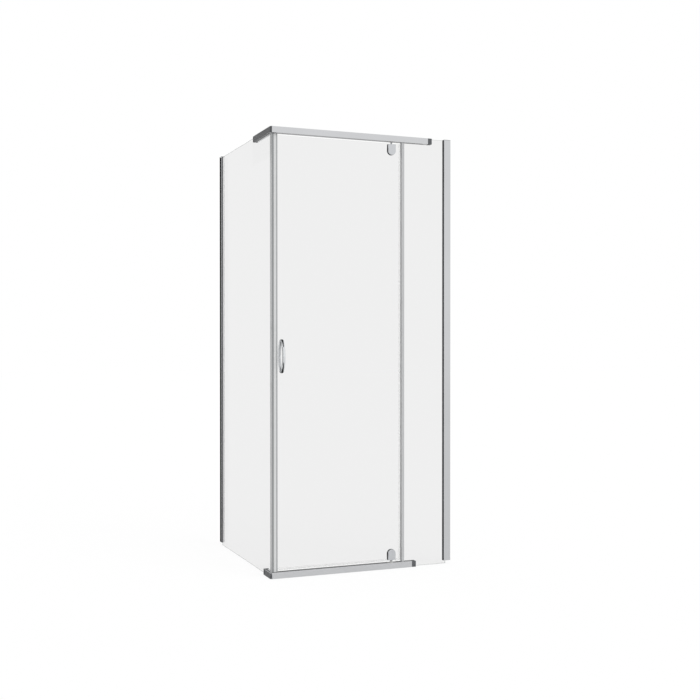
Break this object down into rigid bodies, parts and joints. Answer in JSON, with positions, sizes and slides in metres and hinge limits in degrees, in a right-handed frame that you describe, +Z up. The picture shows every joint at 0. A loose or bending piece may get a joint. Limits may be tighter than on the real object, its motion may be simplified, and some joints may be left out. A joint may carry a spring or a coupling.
{
  "type": "shower screen",
  "caption": "Corner shower screen of clear glass: an outward pivot door beside a fixed inline pane, a fixed side pane, a slim metal sill and header, wall channels and a bow handle.",
  "frame": {"origin": "on the tray, where the centre planes of the front glass and of the side glass cross, at the near corner", "axes": "+X along the front to the right-hand wall, +Y along the side pane to the back wall, +Z up; a bather enters along +Y"},
  "size_m": [0.891, 0.892, 2],
  "materials": {
    "aluminium": "bright anodised",
    "chrome": "polished",
    "stainless": "bright drawn",
    "glass": "clear toughened",
    "dark_plastic": "moulded dark grey",
    "gasket_rubber": "matt extruded",
    "seal_pvc": "grey extruded",
    "clear_seal": "clear extruded",
    "nylon": "moulded white",
    "magnet": "magnetic rubber"
  },
  "bodies": {
    "frame": {"sill_front": "aluminium", "sill_return": "aluminium", "header_front": "aluminium", "header_return": "aluminium", "sill_front_cap": "dark_plastic", "sill_return_cap": "dark_plastic", "header_front_cap": "dark_plastic", "header_return_cap": "dark_plastic", "sill_corner_keys": "dark_plastic", "header_corner_keys": "dark_plastic", "corner_key_screws": "stainless", "sill_infill_strips": "aluminium", "header_infill_strips": "aluminium", "sill_gaskets": "gasket_rubber", "header_gaskets": "gasket_rubber", "setting_pads": "gasket_rubber", "setting_blocks": "clear_seal", "front_wall_channel": "aluminium", "side_wall_channel": "aluminium", "channel_top_caps": "dark_plastic", "front_channel_gaskets": "gasket_rubber", "side_channel_gaskets": "gasket_rubber", "inline_pane": "glass", "side_pane": "glass", "strike_strip": "seal_pvc", "strike_magnet": "magnet", "jamb_strip": "seal_pvc", "lower_pivot_block": "nylon", "upper_pivot_block": "nylon", "pivot_block_screws": "stainless", "thrust_washer": "nylon"},
    "door": {"door_leaf": "glass", "closing_strip": "seal_pvc", "closing_magnet": "magnet", "tail_edge_seal": "clear_seal", "drip_seals": "clear_seal", "lower_pivot_spindle": "stainless", "upper_pivot_spindle": "stainless", "lower_clamp_front": "chrome", "lower_clamp_rear": "chrome", "upper_clamp_front": "chrome", "upper_clamp_rear": "chrome", "clamp_pads": "gasket_rubber", "clamp_screws": "stainless", "outer_bow_handle": "chrome", "inner_bow_handle": "chrome", "handle_studs": "stainless", "handle_washers": "clear_seal", "handle_sleeves": "clear_seal", "handle_grub_screws": "stainless"}
  },
  "joints": [
    {"name": "door_swing", "type": "hinge", "parent": "frame", "child": "door", "pos_m": [0.5757, 0, 0.04], "axis": [0, 0, 1], "range_deg": [0, 100]}
  ]
}
